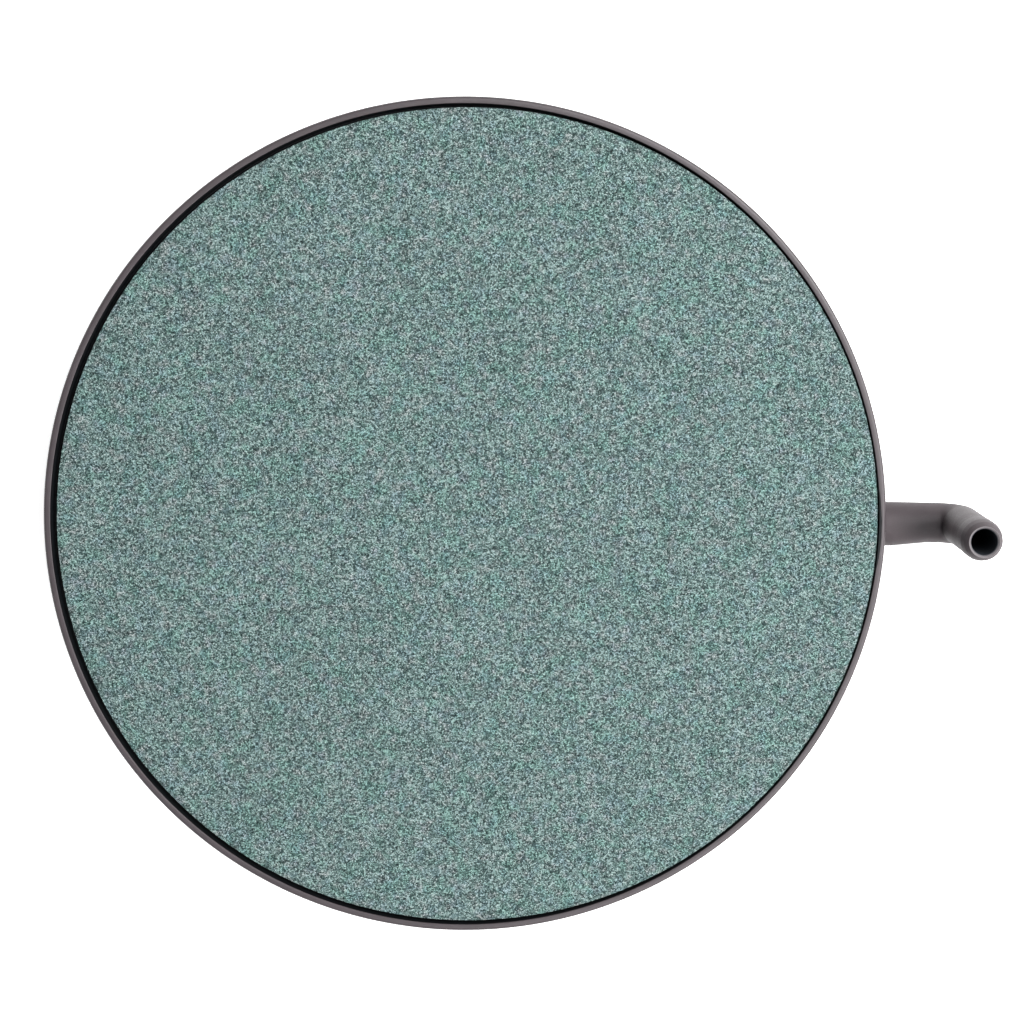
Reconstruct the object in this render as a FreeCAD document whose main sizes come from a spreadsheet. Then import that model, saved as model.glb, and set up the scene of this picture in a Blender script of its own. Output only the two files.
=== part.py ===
"""Round pond air stone: a bonded porous disc in a shallow moulded dish, fed by an upturned hose tail.

Frame: millimetres, +Z up, the origin on the disc's axis at the plane the rubber feet stand on,
and +X from the disc's axis towards the hose tail.
"""
import FreeCAD, Part
import math
import os
import re
import Sketcher

Vector = FreeCAD.Vector

# Driving dimensions: name, value in mm or degrees, what it is.
DIMENSIONS = [
    ("foot_height", 2.0, "rest plane to the dish's underside"),
    ("foot_radius", 7.0, "rubber foot, outside"),
    ("foot_round", 0.8, "rounded lower edge of a foot"),
    ("foot_circle_radius", 72.0, "circle that the outer feet stand on"),
    ("first_foot_angle", 45.0, "angle from +X to the first outer foot"),
    ("stem_radius", 1.9, "push-in stem of a foot"),
    ("stem_head_radius", 2.0, "barbed head of the stem, as wide as its socket"),
    ("stem_neck_length", 2.0, "stem below its head"),
    ("stem_length", 4.0, "whole stem, into the dish"),
    ("socket_depth", 4.4, "blind socket in the underside"),
    ("socket_boss_radius", 4.6, "boss around a foot's socket"),
    ("socket_roof", 2.0, "plastic left above a foot's socket"),
    ("rim_radius", 100.0, "outside of the dish at its rim"),
    ("base_radius", 99.7, "outside of the dish at its underside, less by the mould's draft"),
    ("base_round", 1.2, "rounded outer edge of the underside"),
    ("rim_height", 24.0, "rest plane to the top of the rim"),
    ("rim_inner_radius", 98.4, "inside of the rim at its top"),
    ("seat_inner_radius", 98.15, "inside of the upper wall at the stone's seat"),
    ("channel_outer_radius", 97.6, "inside of the lower, thicker wall"),
    ("rim_chamfer", 0.35, "broken inner edge of the rim"),
    ("rim_round", 0.9, "rounded outer edge of the rim"),
    ("floor_thickness", 2.2, "floor of the dish"),
    ("seat_height", 13.6, "rest plane to the stone's underside"),
    ("seat_ring_outer_radius", 95.0, "ring that carries the stone's edge, outside"),
    ("seat_ring_inner_radius", 93.4, "ring that carries the stone's edge, inside"),
    ("rib_count", 8, "radial ribs on the floor, and pillars on each circle"),
    ("rib_thickness", 1.6, "radial rib"),
    ("rib_height", 4.0, "radial rib above the floor, lower than the seat so that air passes"),
    ("rib_inner_radius", 4.0, "where a rib starts, inside the middle boss"),
    ("first_rib_angle", 22.5, "angle from +X to the first rib, clear of the inlet"),
    ("pillar_radius", 2.6, "pillar under the stone"),
    ("inner_pillar_circle", 30.0, "circle of the inner pillars"),
    ("outer_pillar_circle", 62.0, "circle of the outer pillars"),
    ("stone_radius", 97.5, "porous disc"),
    ("stone_offset", 0.57, "how far off centre, towards the hose tail, the disc was bonded"),
    ("stone_gap_below_rim", 0.2, "rim's top down to the disc's top"),
    ("stone_round", 0.4, "worn edge of the porous disc"),
    ("sealant_gap_below_rim", 1.2, "rim's top down to the sealant"),
    ("inlet_height", 8.9, "rest plane to the axis of the inlet"),
    ("inlet_block_start", 88.0, "inlet block in the dish, inner end"),
    ("inlet_block_end", 98.6, "inlet block in the dish, outer end, inside the wall"),
    ("inlet_block_width", 12.0, "inlet block across"),
    ("spigot_start", 88.6, "inner end of the elbow's spigot"),
    ("spigot_radius", 4.0, "elbow's spigot and the hole that it fills"),
    ("bore_radius", 3.05, "air passage of the elbow"),
    ("collar_start", 99.9, "elbow's shoulder, just outside the wall"),
    ("collar_radius", 5.35, "elbow at its root"),
    ("collar_end", 103.6, "end of the round collar"),
    ("run_start", 112.4, "where the root's one-sided taper ends"),
    ("tube_radius", 4.87, "elbow's tube, outside"),
    ("leg_distance", 120.2, "disc's axis to the axis of the upright leg"),
    ("bend_radius", 5.5, "centre line of the elbow's bend"),
    ("neck_start_height", 26.0, "rest plane to the start of the neck's taper"),
    ("neck_height", 29.0, "rest plane to the narrow neck"),
    ("neck_radius", 4.75, "narrow neck under the barb"),
    ("barb_height", 32.3, "rest plane to the barb's shoulder"),
    ("barb_radius", 4.95, "crest of the barb"),
    ("barb_land", 5.7, "cylindrical crest of the barb"),
    ("tip_height", 41.0, "rest plane to the tip"),
    ("tip_radius", 3.95, "outside of the tip"),
    ("tip_round", 0.3, "rounded outer edge of the tip"),
    ("bead_radius", 5.9, "bead of cement around the elbow's root, outside"),
    ("bead_end", 100.9, "end of the bead along the root"),
    ("bead_start", 98.0, "start of the bead's section, inside the wall"),
]
OUTER_FEET = 4
# the collar lines up with the narrower tube on the +Y side, so its centre is moved to -Y
COLLAR_CENTRE = "tube_radius - collar_radius"

doc = FreeCAD.newDocument("air_stone")
sheet = doc.addObject("Spreadsheet::Sheet", "Dimensions")
for row, (alias, amount, note) in enumerate(DIMENSIONS, start=1):
    sheet.set(f"A{row}", alias)
    sheet.set(f"B{row}", str(amount))
    sheet.setAlias(f"B{row}", alias)
    sheet.set(f"C{row}", note)
doc.recompute()

NAMES = {alias for alias, amount, note in DIMENSIONS}


def bind(item, prop, formula):
    """Bind a property to a formula of the sheet's names."""
    full = re.sub(r"[a-z_]+", lambda found: with_sheet(found.group()), formula)
    item.setExpression(prop, full)


def with_sheet(word):
    return f"Dimensions.{word}" if word in NAMES else word


def make_body(name, height=None, distance=None):
    """A body with its own label, its frame lifted by height and moved along +X by distance."""
    body = doc.addObject("PartDesign::Body", name)
    body.Label = name
    if height:
        bind(body, "Placement.Base.z", height)
    if distance:
        bind(body, "Placement.Base.x", distance)
    return body


def make_sketch(body, name, plane, offset=None, angle=None, across=None):
    """A sketch on one of the body's origin planes.

    It can be moved along the plane's normal, turned about it, and moved across, along the sketch's own X.
    """
    sketch = body.newObject("Sketcher::SketchObject", name)
    support = next(item for item in body.Origin.OriginFeatures if item.Role == plane)
    sketch.AttachmentSupport = (support, [""])
    sketch.MapMode = "FlatFace"
    if angle:
        bind(sketch, "AttachmentOffset.Rotation.Angle", angle)
    if offset:
        bind(sketch, "AttachmentOffset.Base.z", offset)
    if across:
        bind(sketch, "AttachmentOffset.Base.x", across)
    return sketch


def constrain(sketch, kind, place, formula, start):
    """A named dimension of the sketch, bound to a formula of the sheet unless it is nought."""
    if formula == "0":
        sketch.addConstraint(Sketcher.Constraint(kind, *place, 0))
        return
    index = sketch.addConstraint(Sketcher.Constraint(kind, *place, start))
    name = f"size_{index}"
    sketch.renameConstraint(index, name)
    bind(sketch, f"Constraints.{name}", formula)


def draw_outline(sketch, corners):
    """A closed outline of straight lines through the corners, each a pair of formulas."""
    count = len(corners)
    first = [Vector(math.cos(math.tau * i / count), math.sin(math.tau * i / count), 0) for i in range(count)]
    lines = [Part.LineSegment(first[i], first[(i + 1) % count]) for i in range(count)]
    sketch.addGeometry(lines, False)
    for i in range(count):
        sketch.addConstraint(Sketcher.Constraint("Coincident", i, 2, (i + 1) % count, 1))
    for i, (across, along) in enumerate(corners):
        constrain(sketch, "DistanceX", (-1, 1, i, 1), across, first[i].x)
        constrain(sketch, "DistanceY", (-1, 1, i, 1), along, first[i].y)


def draw_circle(sketch, radius, across="0", along="0"):
    """A circle with its radius and its centre given as formulas."""
    index = sketch.addGeometry(Part.Circle(Vector(1, 1, 0), Vector(0, 0, 1), 1), False)
    constrain(sketch, "DistanceX", (-1, 1, index, 3), across, 1)
    constrain(sketch, "DistanceY", (-1, 1, index, 3), along, 1)
    constrain(sketch, "Radius", (index,), radius, 1)


def revolve(body, name, corners, axis="V_Axis", offset=None, across=None):
    """Turn an outline of the XZ plane about the sketch's upright or level axis."""
    sketch = make_sketch(body, f"{name}_outline", "XZ_Plane", offset, None, across)
    draw_outline(sketch, corners)
    feature = body.newObject("PartDesign::Revolution", name)
    feature.Profile = sketch
    feature.ReferenceAxis = (sketch, [axis])
    feature.Angle = 360
    sketch.Visibility = False
    doc.recompute()
    return feature


def extrude(body, name, sketch, length, kind="Pad", reverse=False):
    """Pad or pocket a sketch by a length given as a formula."""
    feature = body.newObject(f"PartDesign::{kind}", name)
    feature.Profile = sketch
    bind(feature, "Length", length)
    feature.Reversed = reverse
    doc.recompute()
    return feature


def repeat_round(body, name, feature, count):
    """Repeat a feature evenly round the body's own upright axis."""
    pattern = body.newObject("PartDesign::PolarPattern", name)
    pattern.Originals = [feature]
    axis = next(item for item in body.Origin.OriginFeatures if item.Role == "Z_Axis")
    pattern.Axis = (axis, [""])
    pattern.Angle = 360
    if isinstance(count, str):
        bind(pattern, "Occurrences", count)
    else:
        pattern.Occurrences = count
    body.Tip = pattern
    doc.recompute()
    return pattern


def round_edges(body, name, kind, size, chosen):
    """Fillet or chamfer the edges of the body's tip that the test chooses."""
    tip = body.Tip
    names = [f"Edge{i}" for i, edge in enumerate(tip.Shape.Edges, start=1) if chosen(edge)]
    if not names:
        raise SystemExit(f"{name}: no edge was chosen")
    feature = body.newObject(f"PartDesign::{kind}", name)
    feature.Base = (tip, names)
    bind(feature, "Radius" if kind == "Fillet" else "Size", size)
    doc.recompute()
    return feature


def is_circle(radius, height):
    """A test for a full circle round an upright axis, with this radius at this height."""

    def chosen(edge):
        curve = edge.Curve
        return (
            isinstance(curve, Part.Circle)
            and abs(curve.Radius - radius) < 0.01
            and abs(curve.Center.z - height) < 0.01
        )

    return chosen


def read(name):
    return float(sheet.get(name))


def make_case():
    """The moulded dish: wall, floor, seat ring, ribs, pillars, inlet block and foot sockets."""
    body = make_body("case_dish")
    floor_top = "foot_height + floor_thickness"
    revolve(body, "shell", [
        ("0", "foot_height"),
        ("base_radius", "foot_height"),
        ("rim_radius", "rim_height"),
        ("rim_inner_radius", "rim_height"),
        ("seat_inner_radius", "seat_height"),
        ("channel_outer_radius", "seat_height"),
        ("channel_outer_radius", floor_top),
        ("seat_ring_outer_radius", floor_top),
        ("seat_ring_outer_radius", "seat_height"),
        ("seat_ring_inner_radius", "seat_height"),
        ("seat_ring_inner_radius", floor_top),
        ("0", floor_top),
    ])
    round_edges(body, "base_edge", "Fillet", "base_round", is_circle(read("base_radius"), read("foot_height")))
    round_edges(body, "rim_edge", "Fillet", "rim_round", is_circle(read("rim_radius"), read("rim_height")))
    round_edges(
        body, "rim_lip", "Chamfer", "rim_chamfer", is_circle(read("rim_inner_radius"), read("rim_height"))
    )
    make_case_ribs(body, floor_top)
    make_case_pillars(body, floor_top)
    make_inlet_block(body, floor_top)
    make_foot_sockets(body, floor_top)
    return body


def make_case_ribs(body, floor_top):
    """Radial ribs that stiffen the floor, from the middle boss to the seat ring."""
    sketch = make_sketch(body, "rib_outline", "XY_Plane", floor_top, "first_rib_angle")
    rib_end = "seat_ring_inner_radius + 0.5 * rib_thickness"
    draw_outline(sketch, [
        ("rib_inner_radius", "-0.5 * rib_thickness"),
        (rib_end, "-0.5 * rib_thickness"),
        (rib_end, "0.5 * rib_thickness"),
        ("rib_inner_radius", "0.5 * rib_thickness"),
    ])
    rib = extrude(body, "rib", sketch, "rib_height")
    repeat_round(body, "ribs", rib, "rib_count")


def make_case_pillars(body, floor_top):
    """Pillars on the ribs, up to the seat, that hold the stone off the floor."""
    for ring in ("inner", "outer"):
        sketch = make_sketch(body, f"{ring}_pillar_outline", "XY_Plane", floor_top, "first_rib_angle")
        draw_circle(sketch, "pillar_radius", f"{ring}_pillar_circle")
        pillar = extrude(body, f"{ring}_pillar", sketch, f"seat_height - ({floor_top})")
        repeat_round(body, f"{ring}_pillars", pillar, "rib_count")


def make_inlet_block(body, floor_top):
    """The block behind the wall that the elbow's spigot is cemented into, and its hole."""
    sketch = make_sketch(body, "inlet_block_outline", "XY_Plane", floor_top)
    draw_outline(sketch, [
        ("inlet_block_start", "-0.5 * inlet_block_width"),
        ("inlet_block_end", "-0.5 * inlet_block_width"),
        ("inlet_block_end", "0.5 * inlet_block_width"),
        ("inlet_block_start", "0.5 * inlet_block_width"),
    ])
    extrude(body, "inlet_block", sketch, f"seat_height - ({floor_top})")
    hole = make_sketch(body, "inlet_hole_outline", "YZ_Plane", "bead_end")
    draw_circle(hole, "spigot_radius", "0", "inlet_height")
    extrude(body, "inlet_hole", hole, "bead_end - inlet_block_start + 1", "Pocket")


def make_foot_sockets(body, floor_top):
    """A boss and a blind socket for each foot: one in the middle and the others on a circle."""
    boss_height = f"foot_height + socket_depth + socket_roof - ({floor_top})"
    for place, distance, angle in (("middle", "0", None), ("outer", "foot_circle_radius", "first_foot_angle")):
        boss_sketch = make_sketch(body, f"{place}_boss_outline", "XY_Plane", floor_top, angle)
        draw_circle(boss_sketch, "socket_boss_radius", distance)
        boss = extrude(body, f"{place}_boss", boss_sketch, boss_height)
        if place == "outer":
            repeat_round(body, "outer_bosses", boss, OUTER_FEET)
        socket_sketch = make_sketch(body, f"{place}_socket_outline", "XY_Plane", "foot_height", angle)
        draw_circle(socket_sketch, "stem_head_radius", distance)
        socket = extrude(body, f"{place}_socket", socket_sketch, "socket_depth", "Pocket", True)
        if place == "outer":
            repeat_round(body, "outer_sockets", socket, OUTER_FEET)


def make_stone():
    """The porous disc, bonded slightly off centre on the seat ring and the pillars."""
    body = make_body("stone_disc", "seat_height", "stone_offset")
    sketch = make_sketch(body, "disc_outline", "XY_Plane")
    draw_circle(sketch, "stone_radius")
    thickness = "rim_height - stone_gap_below_rim - seat_height"
    disc = extrude(body, "disc", sketch, thickness)
    top = disc.Shape.BoundBox.ZMax
    round_edges(body, "worn_edge", "Fillet", "stone_round", is_circle(read("stone_radius"), top))
    return body


def make_sealant():
    """Black sealant: it fills the channel outside the seat ring and the gap beside the disc."""
    body = make_body("stone_sealant")
    floor_top = "foot_height + floor_thickness"
    sealant_top = "rim_height - sealant_gap_below_rim"
    # the wall leans out evenly from the seat to the rim, so this is its radius at the sealant's top
    top_radius = (
        "rim_inner_radius - (rim_inner_radius - seat_inner_radius)"
        " * sealant_gap_below_rim / (rim_height - seat_height)"
    )
    revolve(body, "filling", [
        ("seat_ring_outer_radius", floor_top),
        ("channel_outer_radius", floor_top),
        ("channel_outer_radius", "seat_height"),
        ("seat_inner_radius", "seat_height"),
        (top_radius, sealant_top),
        ("seat_ring_outer_radius", sealant_top),
    ])
    disc_sketch = make_sketch(body, "disc_space_outline", "XY_Plane", "rim_height")
    draw_circle(disc_sketch, "stone_radius", "stone_offset")
    extrude(body, "disc_space", disc_sketch, "rim_height - seat_height", "Pocket")
    block_sketch = make_sketch(body, "block_space_outline", "XY_Plane", "seat_height")
    draw_outline(block_sketch, [
        ("inlet_block_start", "-0.5 * inlet_block_width"),
        ("inlet_block_end", "-0.5 * inlet_block_width"),
        ("inlet_block_end", "0.5 * inlet_block_width"),
        ("inlet_block_start", "0.5 * inlet_block_width"),
    ])
    extrude(body, "block_space", block_sketch, f"seat_height - ({floor_top})", "Pocket")
    return body


def make_elbow():
    """The moulded elbow: spigot, collar, tapered root, bend, upright leg with a barb, and its bore.

    The body's frame is at the inlet's height, so distances along X are from the disc's axis.
    """
    body = make_body("hose_elbow", "inlet_height")
    spigot = make_sketch(body, "spigot_outline", "YZ_Plane", "spigot_start")
    draw_circle(spigot, "spigot_radius")
    extrude(body, "spigot", spigot, "collar_start - spigot_start")
    collar = make_sketch(body, "collar_outline", "YZ_Plane", "collar_start")
    draw_circle(collar, "collar_radius", COLLAR_CENTRE)
    extrude(body, "collar", collar, "collar_end - collar_start")
    make_root_taper(body)
    tube = make_sketch(body, "tube_outline", "YZ_Plane", "run_start")
    draw_circle(tube, "tube_radius")
    sweep_elbow(body, "tube", "AdditivePipe", tube, "run_start", "neck_start_height - inlet_height")
    make_barb(body)
    bore = make_sketch(body, "bore_outline", "YZ_Plane", "spigot_start - 1")
    draw_circle(bore, "bore_radius")
    sweep_elbow(body, "bore", "SubtractivePipe", bore, "spigot_start - 1", "tip_height - inlet_height + 1")
    return body


def make_root_taper(body):
    """The elbow's root: its collar narrows to the tube on the -Y side only."""
    root = make_sketch(body, "root_outline", "YZ_Plane", "collar_end")
    draw_circle(root, "collar_radius", COLLAR_CENTRE)
    run = make_sketch(body, "run_outline", "YZ_Plane", "run_start")
    draw_circle(run, "tube_radius")
    taper = body.newObject("PartDesign::AdditiveLoft", "root_taper")
    taper.Profile = root
    taper.Sections = [run]
    taper.Ruled = True
    doc.recompute()


def sweep_elbow(body, name, kind, outline, start, top):
    """Sweep an outline along the elbow's centre line: a level run, a quarter bend and an upright leg."""
    spine = make_sketch(body, f"{name}_spine", "XZ_Plane")
    level = Part.LineSegment(Vector(0, 0, 0), Vector(2, 0, 0))
    bend = Part.ArcOfCircle(Part.Circle(Vector(2, 1, 0), Vector(0, 0, 1), 1), -math.pi / 2, 0)
    upright = Part.LineSegment(Vector(3, 1, 0), Vector(3, 3, 0))
    spine.addGeometry([level, bend, upright], False)
    spine.addConstraint(Sketcher.Constraint("Tangent", 0, 2, 1, 1))
    spine.addConstraint(Sketcher.Constraint("Tangent", 1, 2, 2, 1))
    spine.addConstraint(Sketcher.Constraint("Horizontal", 0))
    spine.addConstraint(Sketcher.Constraint("Vertical", 2))
    constrain(spine, "DistanceY", (-1, 1, 0, 1), "0", 0)
    constrain(spine, "Radius", (1,), "bend_radius", 1)
    constrain(spine, "DistanceX", (-1, 1, 0, 1), start, 0)
    constrain(spine, "DistanceX", (-1, 1, 2, 2), "leg_distance", 3)
    constrain(spine, "DistanceY", (-1, 1, 2, 2), top, 3)
    pipe = body.newObject(f"PartDesign::{kind}", name)
    pipe.Profile = outline
    pipe.Spine = (spine, ["Edge1", "Edge2", "Edge3"])
    doc.recompute()
    return pipe


def make_barb(body):
    """The narrow neck, the barb's shoulder and cylindrical crest, and the cone to the tip."""
    feature = revolve(body, "barb", [
        ("0", "neck_start_height - inlet_height"),
        ("tube_radius", "neck_start_height - inlet_height"),
        ("neck_radius", "neck_height - inlet_height"),
        ("neck_radius", "barb_height - inlet_height"),
        ("barb_radius", "barb_height - inlet_height"),
        ("barb_radius", "barb_height + barb_land - inlet_height"),
        ("tip_radius", "tip_height - inlet_height"),
        ("0", "tip_height - inlet_height"),
    ], across="leg_distance")
    top = feature.Shape.BoundBox.ZMax
    round_edges(body, "tip_edge", "Fillet", "tip_round", is_circle(read("tip_radius"), top))


def make_bond_bead():
    """The bead of cement round the elbow's collar, cut to the dish's drafted wall."""
    ring = make_body("bead_ring", "inlet_height")
    revolve(ring, "bead_section", [
        ("bead_start", "collar_radius"),
        ("bead_start", "bead_radius"),
        ("collar_start", "bead_radius"),
        ("bead_end", "collar_radius"),
    ], "H_Axis", offset=f"-({COLLAR_CENTRE})")
    wall = doc.addObject("Part::Cone", "wall_space")
    bind(wall, "Radius1", "base_radius")
    bind(wall, "Radius2", "rim_radius")
    bind(wall, "Height", "rim_height - foot_height")
    bind(wall, "Placement.Base.z", "foot_height")
    bead = doc.addObject("Part::Cut", "elbow_bond_bead")
    bead.Label = "elbow_bond_bead"
    bead.Base = ring
    bead.Tool = wall
    doc.recompute()
    return bead


def make_foot(name, distance, angle):
    """A push-in rubber foot: a rounded pad and a stem with a slightly barbed head."""
    body = make_body(name)
    bind(body, "Placement.Base.x", f"{distance} * cos({angle})")
    bind(body, "Placement.Base.y", f"{distance} * sin({angle})")
    revolve(body, "pad_and_stem", [
        ("0", "0"),
        ("foot_radius", "0"),
        ("foot_radius", "foot_height"),
        ("stem_radius", "foot_height"),
        ("stem_radius", "foot_height + stem_neck_length"),
        ("stem_head_radius", "foot_height + stem_neck_length"),
        ("stem_head_radius", "foot_height + 0.5 * (stem_neck_length + stem_length)"),
        ("0.7 * stem_radius", "foot_height + stem_length"),
        ("0", "foot_height + stem_length"),
    ])
    round_edges(body, "pad_edge", "Fillet", "foot_round", is_circle(read("foot_radius"), 0))
    return body


def make_feet():
    """The middle foot and the outer ones, evenly round their circle."""
    feet = [make_foot("foot_middle", "0", "0")]
    for i in range(OUTER_FEET):
        angle = f"first_foot_angle + {i} * 360 / {OUTER_FEET}"
        feet.append(make_foot(f"foot_outer_{i + 1}", "foot_circle_radius", angle))
    return feet


def check_document(parts):
    """Stop if any object failed or any sub-part isn't one valid solid."""
    doc.recompute()
    for item in doc.Objects:
        if "Invalid" in item.State or "Error" in item.State:
            raise SystemExit(f"{item.Name} failed: {item.State}")
    for part in parts:
        shape = part.Shape
        if shape.isNull() or not shape.isValid() or len(shape.Solids) != 1:
            raise SystemExit(f"{part.Label} isn't one valid solid")


def main():
    parts = [make_case(), make_stone(), make_sealant(), make_elbow(), make_bond_bead()]
    parts += make_feet()
    check_document(parts)
    os.makedirs("parts", exist_ok=True)
    for part in parts:
        part.Shape.exportStep(f"parts/{part.Label}.step")
        box = part.Shape.optimalBoundingBox()
        print(
            f"{part.Label}: {part.Shape.Volume:.1f} mm3, x {box.XMin:.2f} to {box.XMax:.2f},"
            f" y {box.YMin:.2f} to {box.YMax:.2f}, z {box.ZMin:.2f} to {box.ZMax:.2f}"
        )


main()
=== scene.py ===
"""Looks of the round pond air stone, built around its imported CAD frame."""
import math
import bmesh
import bpy
import numpy as np
from mathutils import Matrix, Vector


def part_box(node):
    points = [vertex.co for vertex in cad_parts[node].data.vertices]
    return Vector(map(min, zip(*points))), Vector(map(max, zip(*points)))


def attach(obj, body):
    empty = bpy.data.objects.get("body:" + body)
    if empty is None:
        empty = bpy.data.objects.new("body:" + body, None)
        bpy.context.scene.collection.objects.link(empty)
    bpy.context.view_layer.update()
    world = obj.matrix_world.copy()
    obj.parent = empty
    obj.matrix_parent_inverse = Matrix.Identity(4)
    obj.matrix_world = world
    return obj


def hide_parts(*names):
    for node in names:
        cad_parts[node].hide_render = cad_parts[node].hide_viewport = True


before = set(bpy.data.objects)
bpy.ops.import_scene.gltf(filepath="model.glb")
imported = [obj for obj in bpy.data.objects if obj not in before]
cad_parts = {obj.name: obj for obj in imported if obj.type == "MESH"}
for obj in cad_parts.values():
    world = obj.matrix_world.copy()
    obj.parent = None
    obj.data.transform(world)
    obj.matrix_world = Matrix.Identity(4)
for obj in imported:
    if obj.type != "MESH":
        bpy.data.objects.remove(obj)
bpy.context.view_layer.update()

MM = 0.001
TAU = math.tau

# Sizes that the frame's boxes give
CASE_LOW, CASE_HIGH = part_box("case_dish")
STONE_LOW, STONE_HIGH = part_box("stone_disc")
ELBOW_LOW, ELBOW_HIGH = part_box("hose_elbow")
RIM_RADIUS = round(CASE_HIGH.x, 4)
RIM_HEIGHT = round(CASE_HIGH.z, 4)
UNDERSIDE = round(CASE_LOW.z, 4)
STONE_RADIUS = (STONE_HIGH.x - STONE_LOW.x) / 2
STONE_X = (STONE_HIGH.x + STONE_LOW.x) / 2
SEAT_HEIGHT = STONE_LOW.z

# Sections of the dish, in metres
BASE_RADIUS = RIM_RADIUS - 0.3 * MM
RIM_INNER_RADIUS = RIM_RADIUS - 1.6 * MM
SEAT_INNER_RADIUS = RIM_RADIUS - 1.85 * MM
CHANNEL_OUTER_RADIUS = RIM_RADIUS - 2.4 * MM
SEAT_RING_OUTER = RIM_RADIUS - 5.0 * MM
SEAT_RING_INNER = RIM_RADIUS - 6.6 * MM
FLOOR_TOP = UNDERSIDE + 2.2 * MM
RIM_OUTER_ROUND = 0.75 * MM
RIM_INNER_ROUND = 0.12 * MM

# The disc's face: how far its grains stand up, and how far its edge is worn down and in
GRAIN_SIZE = 1.05 * MM
GRAIN_STEP = 0.10 * MM
GRAIN_CROWN = 0.07 * MM
GRAIN_ROUGHNESS = 0.035 * MM
FACE_WAVE = 0.05 * MM
FACE_DROP = 0.06 * MM
WORN_WIDTH = 0.9 * MM
WORN_DROP = 0.36 * MM
WORN_SHRINK = 0.12 * MM
CHIP_DROP = 0.35 * MM
CHIP_SHRINK = 0.32 * MM
STONE_GRID = 300
STONE_SIDE_DEPTHS = (0.35 * MM, 0.9 * MM, 1.8 * MM)

# The sealant's bead: its drops below the rim, and its smear over the rim beside the elbow; its high
# climb up the rim's inner wall and the smear are partly sealant, partly painted shade
SEALANT_WALL_DROP = 0.42 * MM
SEALANT_STONE_DROP = 1.1 * MM
SEALANT_SAG = 1.7 * MM
SMEAR_AND_SHADE_ANGLE = 0.38
SMEAR_AND_SHADE_REACH = 0.78 * MM
SMEAR_AND_SHADE_THICKNESS = 0.04 * MM

# Sections of the elbow, in metres
INLET_HEIGHT = 8.9 * MM
BARB_RADIUS = 4.95 * MM
LEG_X = ELBOW_HIGH.x - BARB_RADIUS
BORE_RADIUS = 3.05 * MM
TUBE_RADIUS = 4.87 * MM
NECK_RADIUS = 4.75 * MM
BEND_RADIUS = 5.5 * MM
SPIGOT_RADIUS = 4.0 * MM
COLLAR_RADIUS = 5.35 * MM
GROOVE_RADIUS = NECK_RADIUS - 0.15 * MM
NOSE_RADIUS = 4.55 * MM
TIP_RADIUS = 3.66 * MM
COLLAR_END = RIM_RADIUS + 3.6 * MM
RUN_START = RIM_RADIUS + 12.4 * MM
BEND_START = LEG_X - BEND_RADIUS
BEND_LENGTH = BEND_RADIUS * math.pi / 2
BARB_BELOW_TIP = 8.7 * MM
BARB_LAND = 5.0 * MM
NOSE_LENGTH = 1.7 * MM
LIP_DEPTH = 0.7 * MM

# The plastics' colours, with the elbow's painted shade in its bore and in the bend's corner, and its
# painted highlight on the lip. For the corner's painted shade, the distance from its middle is
# squeezed along each axis before it is measured
CASE_COLOUR = (0.0345, 0.027, 0.0305)
ELBOW_COLOUR = (0.044, 0.0352, 0.0388)
BORE_SHADE_COLOUR = (0.02, 0.024, 0.03)
LIP_HIGHLIGHT_COLOUR = (0.125, 0.115, 0.12)
CORNER_SHADE_TINT = (0.36, 0.35, 0.37)
CORNER_SHADE_CENTRE = (LEG_X - 7.2 * MM, -0.3 * MM, INLET_HEIGHT + TUBE_RADIUS)
CORNER_SHADE_SQUEEZE = (0.4, 1.0, 0.5)
CORNER_SHADE_CORE, CORNER_SHADE_EDGE = 1.0 * MM, 4.4 * MM

# Three soft lights aimed at the origin: (name, place, size, power in watts)
LIGHTS = (
    ("upper", (0.34, 0.34, 0.73), (0.5, 0.5), 8.5),
    ("lower", (0.34, -0.44, 0.68), (0.5, 0.5), 5.0),
    ("side", (1.00, 0.10, 1.05), (1.2, 0.6), 22),
)
WORLD_STRENGTH = 0.5
FLOOR_GLOW = 0.65
FLOOR_HALF_SIDE = 3.0

# The camera looks down, a little from the +Y side
CAMERA_DISTANCE = 0.6
CAMERA_TILT = math.radians(7.774)
CAMERA_PAN = math.radians(-1.158)
CAMERA_ROLL = math.radians(1.170)
CAMERA_LENS = 88.92
SENSOR_WIDTH = 36
CAMERA_AIM = Vector((10.86 * MM, 2.815 * MM, RIM_HEIGHT))


# ---------------------------------------------------------------- meshes


def make_object(name, points, faces, smooth_angle=40):
    """A mesh object from points and faces, shaded smooth except across sharper edges."""
    mesh = bpy.data.meshes.new(name)
    mesh.from_pydata([tuple(p) for p in points], [], faces)
    shell = bmesh.new()
    shell.from_mesh(mesh)
    bmesh.ops.recalc_face_normals(shell, faces=shell.faces)
    shell.to_mesh(mesh)
    shell.free()
    mesh.polygons.foreach_set("use_smooth", [True] * len(mesh.polygons))
    mesh.set_sharp_from_angle(angle=math.radians(smooth_angle))
    piece = bpy.data.objects.new(name, mesh)
    bpy.context.scene.collection.objects.link(piece)
    return piece


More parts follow.
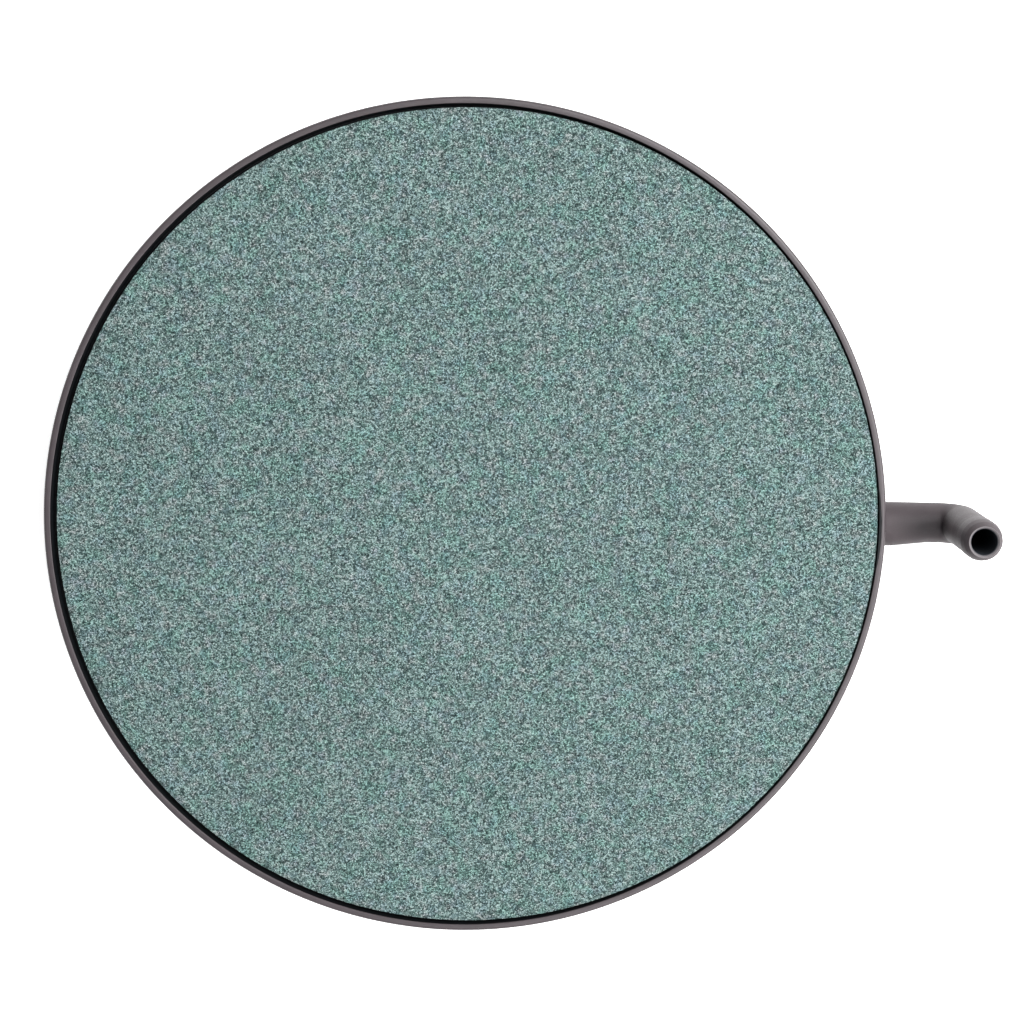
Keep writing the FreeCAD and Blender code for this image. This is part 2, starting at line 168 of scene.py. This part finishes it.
def rounded(corners, step=0.12 * MM):
    """An outline with rounded corners, each given as (across, along, radius). Radius 0 stays sharp."""
    outline = []
    last = len(corners) - 1
    for i, (across, along, radius) in enumerate(corners):
        corner = np.array((across, along))
        if radius == 0 or i in (0, last):
            outline.append(corner)
            continue
        before = np.array(corners[i - 1][:2]) - corner
        after = np.array(corners[i + 1][:2]) - corner
        before /= np.linalg.norm(before)
        after /= np.linalg.norm(after)
        half = math.acos(np.clip(before @ after, -1, 1)) / 2
        bisector = (before + after) / np.linalg.norm(before + after)
        centre = corner + bisector * radius / math.sin(half)
        start = corner + before * radius / math.tan(half) - centre
        end = corner + after * radius / math.tan(half) - centre
        turn = math.atan2(start[0] * end[1] - start[1] * end[0], start @ end)
        count = max(4, round(abs(turn) * radius / step))
        for k in range(count + 1):
            angle = turn * k / count
            c, s = math.cos(angle), math.sin(angle)
            arm = np.array((c * start[0] - s * start[1], s * start[0] + c * start[1]))
            outline.append(centre + arm)
    return outline


def ring_faces(rows, columns, closed_rows=False):
    """Quads between neighbouring rings of points, each ring closed on itself."""
    faces = []
    for row in range(rows if closed_rows else rows - 1):
        low = row * columns
        high = ((row + 1) % rows) * columns
        for k in range(columns):
            n = (k + 1) % columns
            faces.append((low + k, low + n, high + n, high + k))
    return faces


def lathe(name, outline, columns):
    """Turn an outline that starts and ends on the upright axis into a closed solid."""
    angles = np.arange(columns) * TAU / columns
    points = []
    for across, along in outline[1:-1]:
        for angle in angles:
            points.append((across * math.cos(angle), across * math.sin(angle), along))
    rows = len(outline) - 2
    faces = ring_faces(rows, columns)
    first_pole = len(points)
    points.append((0, 0, outline[0][1]))
    points.append((0, 0, outline[-1][1]))
    last_row = (rows - 1) * columns
    for k in range(columns):
        n = (k + 1) % columns
        faces.append((first_pole, n, k))
        faces.append((first_pole + 1, last_row + k, last_row + n))
    return make_object(name, points, faces)


# ---------------------------------------------------------------- noise for the meshes


def lattice_noise(x, y, cell, seed):
    """Smooth noise from -1 to 1 with features of about one cell."""
    table = np.random.default_rng(seed).uniform(-1, 1, (256, 256))
    u, v = np.asarray(x) / cell + 512, np.asarray(y) / cell + 512
    i, j = np.floor(u).astype(int), np.floor(v).astype(int)
    fu, fv = u - i, v - j
    fu, fv = fu * fu * (3 - 2 * fu), fv * fv * (3 - 2 * fv)
    corners = [table[(i + a) % 256, (j + b) % 256] for a in (0, 1) for b in (0, 1)]
    low = corners[0] * (1 - fv) + corners[1] * fv
    high = corners[2] * (1 - fv) + corners[3] * fv
    return low * (1 - fu) + high * fu


def grain_noise(x, y, cell, seed):
    """(a random height for the nearest grain, how far inside it the point is), both from 0 to 1."""
    rng = np.random.default_rng(seed)
    jitter_x, jitter_y, height = rng.uniform(0, 1, (3, 256, 256))
    u, v = np.asarray(x) / cell + 512, np.asarray(y) / cell + 512
    i, j = np.floor(u).astype(int), np.floor(v).astype(int)
    nearest = np.full(u.shape, 9.0)
    second = np.full(u.shape, 9.0)
    chosen = np.zeros(u.shape)
    for a in (-1, 0, 1):
        for b in (-1, 0, 1):
            row, column = (i + a) % 256, (j + b) % 256
            du = i + a + jitter_x[row, column] - u
            dv = j + b + jitter_y[row, column] - v
            reach = np.hypot(du, dv)
            closer = reach < nearest
            second = np.where(closer, nearest, np.minimum(second, reach))
            chosen = np.where(closer, height[row, column], chosen)
            nearest = np.where(closer, reach, nearest)
    return chosen, np.clip(second - nearest, 0, 1)


# ---------------------------------------------------------------- the pieces


def build_case():
    """The dish: a turned shell with its rounded rim, seat ring and channel."""
    outline = rounded([
        (0, UNDERSIDE, 0),
        (BASE_RADIUS, UNDERSIDE, 1.2 * MM),
        (RIM_RADIUS, RIM_HEIGHT, RIM_OUTER_ROUND),
        (RIM_INNER_RADIUS, RIM_HEIGHT, RIM_INNER_ROUND),
        (SEAT_INNER_RADIUS, SEAT_HEIGHT, 0),
        (CHANNEL_OUTER_RADIUS, SEAT_HEIGHT, 0),
        (CHANNEL_OUTER_RADIUS, FLOOR_TOP, 0.4 * MM),
        (SEAT_RING_OUTER, FLOOR_TOP, 0.4 * MM),
        (SEAT_RING_OUTER, SEAT_HEIGHT, 0),
        (SEAT_RING_INNER, SEAT_HEIGHT, 0),
        (SEAT_RING_INNER, FLOOR_TOP, 0.6 * MM),
        (0, FLOOR_TOP, 0),
    ])
    return lathe("case_dish_moulding", outline, 720)


def build_stone():
    """The porous disc: a grid mapped onto a circle, with raised grains and a chipped edge."""
    n = STONE_GRID
    a, b = np.meshgrid(np.linspace(-1, 1, n + 1), np.linspace(-1, 1, n + 1), indexing="ij")
    a, b = a.ravel(), b.ravel()
    wide = np.abs(a) > np.abs(b)
    safe_a, safe_b = np.where(a == 0, 1, a), np.where(b == 0, 1, b)
    reach = np.where(wide, a, b)
    angle = np.where(wide, (math.pi / 4) * b / safe_a, math.pi / 2 - (math.pi / 4) * a / safe_b)
    x, y = STONE_RADIUS * reach * np.cos(angle), STONE_RADIUS * reach * np.sin(angle)
    radius = np.hypot(x, y)
    level, inside = grain_noise(x, y, GRAIN_SIZE, 3)
    fine = np.random.default_rng(11).uniform(-1, 1, x.shape)
    height = GRAIN_STEP * (level - 0.5) + GRAIN_CROWN * inside + GRAIN_ROUGHNESS * fine
    height += FACE_WAVE * lattice_noise(x, y, 14 * MM, 5)
    from_edge = STONE_RADIUS - radius
    worn = np.clip(1 - from_edge / WORN_WIDTH, 0, 1)
    chips = np.clip(lattice_noise(x, y, 1.3 * MM, 8) + 0.5 * fine, 0, 1)
    height -= worn**2 * WORN_DROP + worn * chips * CHIP_DROP
    z = STONE_HIGH.z - FACE_DROP + height
    shrink = 1 - worn * (WORN_SHRINK + CHIP_SHRINK * chips) / STONE_RADIUS
    points = np.stack([x * shrink + STONE_X, y * shrink, z], 1)
    faces = []
    for i in range(n):
        for j in range(n):
            k = i * (n + 1) + j
            faces.append((k, k + n + 1, k + n + 2, k + 1))
    rim = [i * (n + 1) for i in range(n)]
    rim += [n * (n + 1) + j for j in range(n)]
    rim += [i * (n + 1) + n for i in range(n, 0, -1)]
    rim += list(range(n, 0, -1))
    return close_stone(points, faces, rim)


def close_stone(points, faces, rim):
    """Add the disc's side, in rows under its upper edge, and its flat underside."""
    top = points[rim]
    direction = top[:, :2] - np.array((STONE_X, 0))
    direction /= np.linalg.norm(direction, axis=1)[:, None]
    around = np.arange(len(rim))
    rough = np.random.default_rng(21).uniform(-1, 1, (len(STONE_SIDE_DEPTHS), len(rim)))
    rows = []
    for row, depth in enumerate(STONE_SIDE_DEPTHS):
        out = STONE_RADIUS - 0.04 * MM + 0.04 * MM * rough[row]
        side = direction * out[:, None] + np.array((STONE_X, 0))
        rows.append(np.c_[side, np.full(len(rim), STONE_HIGH.z - depth)])
    base = direction * (STONE_RADIUS - 0.05 * MM) + np.array((STONE_X, 0))
    rows.append(np.c_[base, np.full(len(rim), SEAT_HEIGHT)])
    first = len(points)
    everything = np.concatenate([points] + rows + [np.array([[STONE_X, 0, SEAT_HEIGHT]])])
    count = len(rim)
    ring = [list(rim)] + [list(first + r * count + around) for r in range(len(rows))]
    for upper, lower in zip(ring, ring[1:]):
        for k in range(count):
            n = (k + 1) % count
            faces.append((upper[k], lower[k], lower[n], upper[n]))
    centre = len(everything) - 1
    for k in range(count):
        faces.append((ring[-1][k], centre, ring[-1][(k + 1) % count]))
    return make_object("stone_disc_grain", everything, faces, 180)


def build_sealant():
    """The sealant: an uneven bead in the gap, on top of the filled channel."""
    columns = 900
    angles = np.arange(columns) * TAU / columns
    cosine, sine = np.cos(angles), np.sin(angles)
    # distance from the dish's axis to the off-centre disc's side, along each direction
    inner = STONE_X * cosine + np.sqrt((STONE_RADIUS - 0.1 * MM) ** 2 - (STONE_X * sine) ** 2)
    wave = lattice_noise(cosine * 60 * MM, sine * 60 * MM, 5 * MM, 31)
    ripple = lattice_noise(cosine * 60 * MM, sine * 60 * MM, 1.2 * MM, 32)
    smear_and_shade = np.exp(-((np.remainder(angles + math.pi, TAU) - math.pi) / SMEAR_AND_SHADE_ANGLE) ** 2)
    # the bead climbs the rim's inner wall to just under its top, partly as painted shade on the wall
    wall_top = RIM_HEIGHT - SEALANT_WALL_DROP + 0.05 * MM * wave + 0.03 * MM * ripple
    wall_top += smear_and_shade * (RIM_HEIGHT + SMEAR_AND_SHADE_THICKNESS - wall_top)
    stone_top = RIM_HEIGHT - SEALANT_STONE_DROP + 0.12 * MM * wave - 0.08 * MM * ripple
    # near the elbow it is smeared over the rim's inner edge, partly as painted shade beside the
    # elbow's leg, so one row lies outside the wall's
    wall = np.full(columns, RIM_INNER_RADIUS - 0.02 * MM)
    rows = [(wall + smear_and_shade * (SMEAR_AND_SHADE_REACH + 0.08 * MM * ripple), wall_top - 0.05 * MM)]
    for share in np.linspace(0, 1, 13):
        sag = SEALANT_SAG * math.sin(math.pi * share) ** 0.6
        top = wall_top + (stone_top - wall_top) * share
        rows.append((wall + (inner - wall) * share, top - sag))
    rows.append((inner, np.full(columns, SEAT_HEIGHT)))
    for across, along in ((SEAT_RING_OUTER, SEAT_HEIGHT), (SEAT_RING_OUTER, FLOOR_TOP),
                          (CHANNEL_OUTER_RADIUS, FLOOR_TOP), (CHANNEL_OUTER_RADIUS, SEAT_HEIGHT),
                          (SEAT_INNER_RADIUS, SEAT_HEIGHT), (RIM_INNER_RADIUS, RIM_HEIGHT - 0.6 * MM)):
        rows.append((np.full(columns, across), np.full(columns, along)))
    points = np.concatenate([np.c_[r * cosine, r * sine, z] for r, z in rows])
    faces = ring_faces(len(rows), columns, closed_rows=True)
    return make_object("stone_sealant_bead", points, faces, 50)


def elbow_path(distance):
    """(point, direction) on the elbow's centre line, by its length from the disc's axis along +X."""
    if distance <= BEND_START:
        return Vector((distance, 0, INLET_HEIGHT)), Vector((1, 0, 0))
    turned = (distance - BEND_START) / BEND_RADIUS
    if distance <= BEND_START + BEND_LENGTH:
        across = BEND_START + BEND_RADIUS * math.sin(turned)
        up = INLET_HEIGHT + BEND_RADIUS * (1 - math.cos(turned))
        return Vector((across, 0, up)), Vector((math.cos(turned), 0, math.sin(turned)))
    rest = distance - BEND_START - BEND_LENGTH
    return Vector((LEG_X, 0, INLET_HEIGHT + BEND_RADIUS + rest)), Vector((0, 0, 1))


def length_at(height):
    """The centre line's length where the upright leg passes a height."""
    return BEND_START + BEND_LENGTH + height - INLET_HEIGHT - BEND_RADIUS


def build_elbow():
    """The elbow: a hollow tube swept along its bend, with its collar, neck, barb and tip."""
    spigot_start = ELBOW_LOW.x
    tip = length_at(ELBOW_HIGH.z)
    collar_start = RIM_RADIUS - 0.1 * MM
    barb = length_at(ELBOW_HIGH.z - BARB_BELOW_TIP)
    outside = [
        (spigot_start, BORE_RADIUS, 0),
        (spigot_start, SPIGOT_RADIUS, 0.2 * MM),
        (collar_start, SPIGOT_RADIUS, 0),
        (collar_start, COLLAR_RADIUS, 0.1 * MM),
        (COLLAR_END, COLLAR_RADIUS, 6 * MM),
        (RUN_START, TUBE_RADIUS, 6 * MM),
        (barb - 6.3 * MM, TUBE_RADIUS, 3 * MM),
        (barb - 3.3 * MM, NECK_RADIUS, 3 * MM),
        (barb - 0.5 * MM, NECK_RADIUS, 0),
        (barb - 0.3 * MM, GROOVE_RADIUS, 0),
        (barb, GROOVE_RADIUS, 0),
        (barb, BARB_RADIUS, 0.12 * MM),
        (barb + BARB_LAND, BARB_RADIUS - 0.02 * MM, 2 * MM),
        (tip - NOSE_LENGTH, NOSE_RADIUS, 1.2 * MM),
        (tip, TIP_RADIUS, 0.1 * MM),
        (tip - LIP_DEPTH, BORE_RADIUS, 0.1 * MM),
        (tip - 1.8 * MM, BORE_RADIUS, 0),
    ]
    outline = [tuple(p) for p in rounded(outside, 0.08 * MM)]
    bend_steps = [BEND_START + BEND_LENGTH * k / 40 for k in range(41)]
    straight = [RUN_START + 0.8 * MM, BEND_START - 0.5 * MM]
    at = next(i for i, (along, across) in enumerate(outline) if along > RUN_START + 0.4 * MM)
    outline[at:at] = [(along, TUBE_RADIUS) for along in straight + bend_steps]
    outline += [(along, BORE_RADIUS) for along in reversed(bend_steps)]
    return sweep_rings("hose_elbow_moulding", outline, 128)


def sweep_rings(name, outline, columns):
    """Rings across the elbow's centre line, one for each (length, radius) of a closed outline."""
    angles = np.arange(columns) * TAU / columns
    points = []
    for along, radius in outline:
        centre, direction = elbow_path(along)
        side = Vector((0, 1, 0))
        up = direction.cross(side)
        # the collar and the root lie to the -Y side of the tube's centre line
        share = min(max((RUN_START - along) / (RUN_START - COLLAR_END), 0), 1)
        moved = (TUBE_RADIUS - COLLAR_RADIUS) * share if radius > SPIGOT_RADIUS + 0.05 * MM else 0
        for angle in angles:
            offset = side * (radius * math.cos(angle) + moved) + up * radius * math.sin(angle)
            points.append(centre + offset)
    faces = ring_faces(len(outline), columns, closed_rows=True)
    return make_object(name, points, faces, 35)


def build_bond_bead():
    """The bead of cement round the elbow's collar, a little uneven."""
    columns = 96
    angles = np.arange(columns) * TAU / columns
    uneven = lattice_noise(np.cos(angles) * 6 * MM, np.sin(angles) * 6 * MM, 2.2 * MM, 41)
    centre_y = TUBE_RADIUS - COLLAR_RADIUS
    rows = []
    for share in np.linspace(0, 1, 7):
        # a hollow fillet from the wall, at its widest, to the collar
        out = COLLAR_RADIUS + (0.75 * MM + 0.12 * MM * uneven) * (1 - share) ** 1.6
        ahead = (0.95 * MM + 0.15 * MM * uneven) * share**1.6
        rows.append((out, ahead))
    # its hidden sides run just inside the collar and the wall
    in_collar = np.full(columns, COLLAR_RADIUS - 0.15 * MM)
    in_wall = np.full(columns, -0.25 * MM)
    rows.append((in_collar, rows[-1][1] - 0.05 * MM))
    rows.append((in_collar, in_wall))
    rows.append((rows[0][0], in_wall))
    points = []
    for out, ahead in rows:
        y = centre_y + out * np.cos(angles)
        z = INLET_HEIGHT + out * np.sin(angles)
        up_wall = (z - UNDERSIDE) / (RIM_HEIGHT - UNDERSIDE)
        wall_radius = BASE_RADIUS + (RIM_RADIUS - BASE_RADIUS) * up_wall
        wall_x = np.sqrt(wall_radius**2 - y**2)
        points.append(np.c_[wall_x + ahead, y, z])
    faces = ring_faces(len(rows), columns, closed_rows=True)
    return make_object("elbow_bond_cement", np.concatenate(points), faces, 60)


def build_foot(node):
    """A rubber foot: a rounded pad with two grip rings underneath, and its stem."""
    low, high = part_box(node)
    radius = (high.x - low.x) / 2
    pad_top = UNDERSIDE
    groove = 0.25 * MM
    stem_radius = 1.9 * MM
    head_radius = 2.0 * MM
    outline = rounded([
        (0, groove, 0),
        (2.2 * MM, groove, 0.2 * MM),
        (2.6 * MM, 0, 0.2 * MM),
        (3.6 * MM, 0, 0.2 * MM),
        (4.0 * MM, groove, 0.2 * MM),
        (4.6 * MM, groove, 0.2 * MM),
        (5.0 * MM, 0, 0.2 * MM),
        (radius, 0, 0.8 * MM),
        (radius, pad_top, 0.25 * MM),
        (stem_radius, pad_top, 0.15 * MM),
        (stem_radius, pad_top + 2.0 * MM, 0.1 * MM),
        (head_radius, pad_top + 2.1 * MM, 0),
        (head_radius, pad_top + 3.0 * MM, 0.3 * MM),
        (1.3 * MM, high.z, 0.2 * MM),
        (0, high.z, 0),
    ], 0.08 * MM)
    foot = lathe(f"{node}_rubber", outline, 96)
    foot.data.transform(Matrix.Translation(((low.x + high.x) / 2, (low.y + high.y) / 2, 0)))
    return foot


# ---------------------------------------------------------------- materials


class Nodes:
    """A material's node tree, with short ways to add and join nodes."""

    def __init__(self, name):
        self.material = bpy.data.materials.new(name)
        self.material.use_nodes = True
        self.tree = self.material.node_tree
        self.shader = self.tree.nodes["Principled BSDF"]
        self.place = self.add("ShaderNodeTexCoord").outputs["Object"]
        self.base = None  # a base colour that later layers build on

    def add(self, kind, **settings):
        node = self.tree.nodes.new(kind)
        for key, value in settings.items():
            setattr(node, key, value)
        return node

    def join(self, source, target):
        self.tree.links.new(source, target)

    def warped(self, size, shift):
        """The place, pushed about by noise of this size and shift in metres."""
        node = self.add("ShaderNodeTexNoise")
        node.inputs["Scale"].default_value = 1 / size
        node.inputs["Detail"].default_value = 1.0
        self.join(self.place, node.inputs["Vector"])
        push = self.add("ShaderNodeVectorMath", operation="MULTIPLY_ADD")
        self.join(node.outputs["Color"], push.inputs[0])
        push.inputs[1].default_value = (2 * shift, 2 * shift, 2 * shift)
        self.join(self.place, push.inputs[2])
        return push.outputs["Vector"]

    def shifted(self, place, distance):
        """A place moved aside, so that its noise differs."""
        node = self.add("ShaderNodeVectorMath", operation="ADD")
        self.join(place, node.inputs[0])
        node.inputs[1].default_value = (distance, distance / 2, distance / 3)
        return node.outputs["Vector"]

    def ridge(self, size, width):
        """Thin winding lines, where noise of this size crosses its middle."""
        offset = self.math("ABSOLUTE", self.math("SUBTRACT", self.noise(size, detail=0.0), 0.5))
        return self.scaled(offset, 1.0, 0.0, 0.0, width)

    def noise(self, size, detail=2.0, roughness=0.5):
        """Noise with features of about this size in metres."""
        node = self.add("ShaderNodeTexNoise")
        node.inputs["Scale"].default_value = 1 / size
        node.inputs["Detail"].default_value = detail
        node.inputs["Roughness"].default_value = roughness
        self.join(self.place, node.inputs["Vector"])
        return node.outputs["Fac"]

    def cells(self, size, feature="F1"):
        """Cells of about this size in metres."""
        node = self.add("ShaderNodeTexVoronoi", feature=feature)
        node.inputs["Scale"].default_value = 1 / size
        self.join(self.place, node.inputs["Vector"])
        return node

    def ramp(self, value, stops):
        """A colour for each value, from (value, colour) stops in rising order."""
        node = self.add("ShaderNodeValToRGB")
        elements = node.color_ramp.elements
        while len(elements) < len(stops):
            elements.new(0.5)
        for element, (position, colour) in zip(elements, stops):
            element.position = position
            element.color = (*colour, 1)
        self.join(value, node.inputs["Fac"])
        return node.outputs["Color"]

    def scaled(self, value, low, high, from_low=0.0, from_high=1.0):
        """A value mapped from one range to low and high, and clamped there."""
        node = self.add("ShaderNodeMapRange")
        self.join(value, node.inputs["Value"])
        node.inputs["From Min"].default_value = from_low
        node.inputs["From Max"].default_value = from_high
        node.inputs["To Min"].default_value = low
        node.inputs["To Max"].default_value = high
        return node.outputs["Result"]

    def math(self, operation, *values):
        node = self.add("ShaderNodeMath", operation=operation)
        for socket, value in zip(node.inputs, values):
            if isinstance(value, (int, float)):
                socket.default_value = value
            else:
                self.join(value, socket)
        return node.outputs["Value"]

    def mix(self, kind, share, first, second):
        node = self.add("ShaderNodeMix", data_type="RGBA", blend_type=kind)
        self.join(share, node.inputs["Factor"])
        for socket, value in zip((node.inputs[6], node.inputs[7]), (first, second)):
            if isinstance(value, tuple):
                socket.default_value = (*value, 1)
            else:
                self.join(value, socket)
        return node.outputs[2]

    def bump(self, height, strength, distance):
        node = self.add("ShaderNodeBump")
        node.inputs["Strength"].default_value = strength
        node.inputs["Distance"].default_value = distance
        self.join(height, node.inputs["Height"])
        return node

    def set(self, socket, value):
        target = self.shader.inputs[socket]
        if isinstance(value, (int, float)):
            target.default_value = value
        elif isinstance(value, tuple):
            target.default_value = (*value, 1)
        else:
            self.join(value, target)


def stone_material():
    """Bonded mineral grain: light grains over dark crevices, with faint patches of other hues."""
    m = Nodes("porous_stone")
    flat = m.place
    m.place = m.warped(0.6 * MM, 0.13 * MM)
    grain = m.cells(0.34 * MM)
    edge = m.cells(0.34 * MM, feature="DISTANCE_TO_EDGE")
    shade = m.add("ShaderNodeSeparateColor")
    m.join(grain.outputs["Color"], shade.inputs["Color"])
    speck = m.noise(0.16 * MM, detail=1.0)
    crevice = m.scaled(edge.outputs["Distance"], 0.4, 1.0, 0.0, 0.16)
    level = m.math("MULTIPLY_ADD", shade.outputs["Red"], 0.58, m.math("MULTIPLY", speck, 0.42))
    level = m.math("MULTIPLY", level, crevice)
    level = m.math("MULTIPLY_ADD", m.ridge(0.70 * MM, 0.055), -0.26, level)
    m.place = m.shifted(flat, 0.4)
    level = m.math("MULTIPLY_ADD", m.ridge(0.62 * MM, 0.055), 0.22, level)
    colour = m.ramp(level, [
        (0.06, (0.002, 0.006, 0.006)),
        (0.24, (0.015, 0.033, 0.032)),
        (0.42, (0.071, 0.114, 0.109)),
        (0.60, (0.158, 0.225, 0.217)),
        (0.85, (0.267, 0.340, 0.330)),
    ])
    rosy = m.scaled(m.noise(2.5 * MM, detail=1.0), 0.0, 0.6, 0.50, 0.68)
    green = m.scaled(m.noise(3.3 * MM, detail=1.0), 0.0, 0.6, 0.50, 0.66)
    m.place = m.shifted(flat, 0.9)
    blue = m.scaled(m.noise(2.8 * MM, detail=1.0), 0.0, 0.6, 0.50, 0.68)
    colour = m.mix("MULTIPLY", rosy, colour, (1.28, 0.955, 1.00))
    colour = m.mix("MULTIPLY", green, colour, (0.76, 1.035, 0.935))
    colour = m.mix("MULTIPLY", blue, colour, (0.91, 0.955, 1.09))
    m.set("Base Color", colour)
    m.set("Roughness", 0.8)
    m.set("Specular IOR Level", 0.25)
    relief = m.bump(level, 0.8, 0.14 * MM)
    m.join(relief.outputs["Normal"], m.shader.inputs["Normal"])
    return m.material


def plastic_material(name, colour, roughness, texture):
    """Satin moulded plastic with a fine spark-eroded texture and a slightly uneven tone."""
    m = Nodes(name)
    tone = m.noise(7 * MM, detail=3.0)
    fine = m.noise(0.35 * MM, detail=3.0, roughness=0.65)
    dark, light = (tuple(share * c for c in colour) for share in (0.88, 1.12))
    m.base = m.ramp(tone, [(0.3, dark), (0.7, light)])
    m.set("Base Color", m.base)
    m.set("Roughness", m.scaled(fine, roughness - 0.06, roughness + 0.06, 0.3, 0.7))
    relief = m.bump(fine, texture, 0.03 * MM)
    m.join(relief.outputs["Normal"], m.shader.inputs["Normal"])
    return m


def elbow_material():
    """The elbow's plastic, with painted shade darkening its bore and the bend's corner, and a painted
    highlight on its lip.
    """
    m = plastic_material("elbow_plastic", ELBOW_COLOUR, 0.62, 0.8)
    m.set("Specular IOR Level", 0.3)
    parts = m.add("ShaderNodeSeparateXYZ")
    m.join(m.place, parts.inputs["Vector"])
    across = m.math("SUBTRACT", parts.outputs["X"], LEG_X)
    reach = m.math("POWER", across, 2.0)
    reach = m.math("SQRT", m.math("MULTIPLY_ADD", parts.outputs["Y"], parts.outputs["Y"], reach))
    # painted shade: the bore's wall is coloured dark
    bore_shade = m.scaled(reach, 1.0, 0.0, BORE_RADIUS + 0.05 * MM, BORE_RADIUS + 0.25 * MM)
    # painted shade in the bend's corner: it is longest along the run and fades out from its middle
    aside = m.add("ShaderNodeVectorMath", operation="SUBTRACT")
    m.join(m.place, aside.inputs[0])
    aside.inputs[1].default_value = CORNER_SHADE_CENTRE
    drawn_out = m.add("ShaderNodeVectorMath", operation="MULTIPLY")
    m.join(aside.outputs["Vector"], drawn_out.inputs[0])
    drawn_out.inputs[1].default_value = CORNER_SHADE_SQUEEZE
    far = m.add("ShaderNodeVectorMath", operation="LENGTH")
    m.join(drawn_out.outputs["Vector"], far.inputs[0])
    corner_shade = m.scaled(far.outputs["Value"], 1.0, 0.0, CORNER_SHADE_CORE, CORNER_SHADE_EDGE)
    m.base = m.mix("MULTIPLY", corner_shade, m.base, CORNER_SHADE_TINT)
    # painted highlight: the lip, the slope between the tip's edge and the bore, is coloured pale
    high = m.scaled(parts.outputs["Z"], 0.0, 1.0, ELBOW_HIGH.z - LIP_DEPTH - 0.06 * MM,
                    ELBOW_HIGH.z - LIP_DEPTH + 0.04 * MM)
    inner = m.scaled(reach, 1.0, 0.0, TIP_RADIUS, TIP_RADIUS + 0.06 * MM)
    m.base = m.mix("MIX", m.math("MULTIPLY", high, inner), m.base, LIP_HIGHLIGHT_COLOUR)
    m.set("Base Color", m.mix("MIX", bore_shade, m.base, BORE_SHADE_COLOUR))
    return m.material


def sealant_material():
    """Cured black sealant, smooth but not shiny."""
    m = Nodes("black_sealant")
    ripple = m.noise(0.9 * MM, detail=2.0)
    dark, light = (0.0025, 0.003, 0.0035), (0.005, 0.006, 0.007)
    m.set("Base Color", m.ramp(ripple, [(0.3, dark), (0.7, light)]))
    m.set("Roughness", m.scaled(ripple, 0.4, 0.6))
    m.set("Specular IOR Level", 0.12)
    relief = m.bump(ripple, 0.4, 0.1 * MM)
    m.join(relief.outputs["Normal"], m.shader.inputs["Normal"])
    return m.material


def cement_material():
    """Squeezed-out solvent cement, close to the plastic's colour but glossier."""
    m = Nodes("bond_cement")
    cloud = m.noise(0.8 * MM, detail=2.0)
    dark, light = (0.045, 0.038, 0.041), (0.075, 0.066, 0.07)
    m.set("Base Color", m.ramp(cloud, [(0.3, dark), (0.7, light)]))
    m.set("Roughness", 0.28)
    return m.material


def rubber_material():
    """Matt black rubber."""
    m = Nodes("foot_rubber")
    bloom = m.noise(1.4 * MM, detail=3.0)
    dark, light = (0.016, 0.016, 0.017), (0.028, 0.028, 0.029)
    m.set("Base Color", m.ramp(bloom, [(0.3, dark), (0.75, light)]))
    m.set("Roughness", m.scaled(bloom, 0.62, 0.78))
    m.set("Specular IOR Level", 0.3)
    return m.material


def floor_material():
    """A plain white table that glows a little, so that it stays white in the part's shadows."""
    m = Nodes("floor_white")
    m.set("Base Color", (0.9, 0.9, 0.9))
    m.set("Roughness", 0.8)
    m.set("Specular IOR Level", 0.0)
    m.set("Emission Color", (1.0, 1.0, 1.0))
    m.set("Emission Strength", FLOOR_GLOW)
    return m.material


# ---------------------------------------------------------------- stage


def add_camera():
    data = bpy.data.cameras.new("camera")
    data.lens = CAMERA_LENS
    data.sensor_width = SENSOR_WIDTH
    data.clip_start = 0.01
    camera = bpy.data.objects.new("camera", data)
    bpy.context.scene.collection.objects.link(camera)
    turn = (Matrix.Rotation(CAMERA_PAN, 4, "Y") @ Matrix.Rotation(-CAMERA_TILT, 4, "X")
            @ Matrix.Rotation(CAMERA_ROLL, 4, "Z"))
    back = turn.to_3x3() @ Vector((0, 0, 1))
    camera.matrix_world = Matrix.Translation(CAMERA_AIM + back * CAMERA_DISTANCE) @ turn
    bpy.context.scene.camera = camera


def add_area_light(name, place, size, power):
    data = bpy.data.lights.new(name, "AREA")
    data.shape = "RECTANGLE"
    data.size, data.size_y = size
    data.energy = power
    light = bpy.data.objects.new(name, data)
    bpy.context.scene.collection.objects.link(light)
    turn = (-Vector(place)).to_track_quat("-Z", "Y").to_matrix().to_4x4()
    light.matrix_world = Matrix.Translation(place) @ turn


def add_floor():
    half = FLOOR_HALF_SIDE
    corners = [(-half, -half, 0), (half, -half, 0), (half, half, 0), (-half, half, 0)]
    floor = make_object("floor", corners, [(0, 1, 2, 3)])
    floor.data.materials.append(floor_material())


def add_world():
    world = bpy.data.worlds.new("studio")
    world.use_nodes = True
    background = world.node_tree.nodes["Background"]
    background.inputs["Color"].default_value = (1, 1, 1, 1)
    background.inputs["Strength"].default_value = WORLD_STRENGTH
    bpy.context.scene.world = world
    bpy.context.scene.view_settings.view_transform = "Standard"


def place_piece(piece, node, material):
    piece.data.materials.append(material)
    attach(piece, "root")
    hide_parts(node)


case_plastic = plastic_material("case_plastic", CASE_COLOUR, 0.42, 0.25).material
place_piece(build_case(), "case_dish", case_plastic)
place_piece(build_stone(), "stone_disc", stone_material())
place_piece(build_sealant(), "stone_sealant", sealant_material())
place_piece(build_elbow(), "hose_elbow", elbow_material())
place_piece(build_bond_bead(), "elbow_bond_bead", cement_material())
rubber = rubber_material()
for node in ("foot_middle", "foot_outer_1", "foot_outer_2", "foot_outer_3", "foot_outer_4"):
    place_piece(build_foot(node), node, rubber)

add_camera()
for name, place, size, power in LIGHTS:
    add_area_light(name, place, size, power)
add_floor()
add_world()
